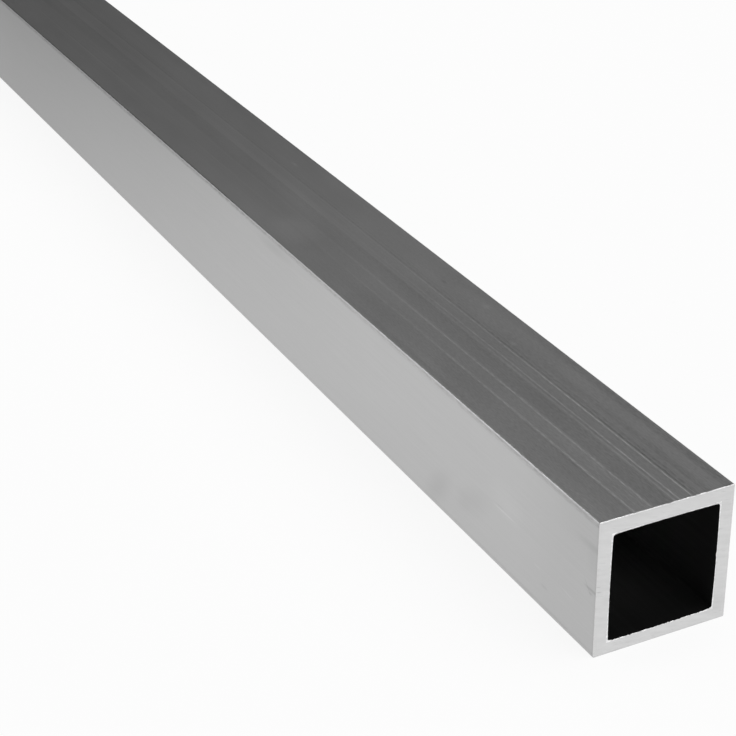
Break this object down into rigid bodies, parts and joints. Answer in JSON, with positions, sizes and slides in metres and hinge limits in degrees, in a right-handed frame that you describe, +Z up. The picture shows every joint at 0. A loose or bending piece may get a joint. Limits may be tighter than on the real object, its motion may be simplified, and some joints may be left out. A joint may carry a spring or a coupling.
{
  "type": "square metal tube",
  "caption": "Straight bar of square aluminium tube with mill finish, open right through and sawn square at both ends, as sold for frames and racks.",
  "frame": {"origin": "middle of the lower flat, halfway along the bar", "axes": "+X along the bar towards the end shown in the picture, +Z up out of the flat that the bar lies on"},
  "size_m": [1, 0.02, 0.02],
  "materials": {
    "mill_aluminium": "mill finish as extruded: satin, with fine die lines along the bar, and sawn ends with fine saw marks"
  },
  "bodies": {
    "root": {"square_tube": "mill_aluminium"}
  },
  "joints": []
}
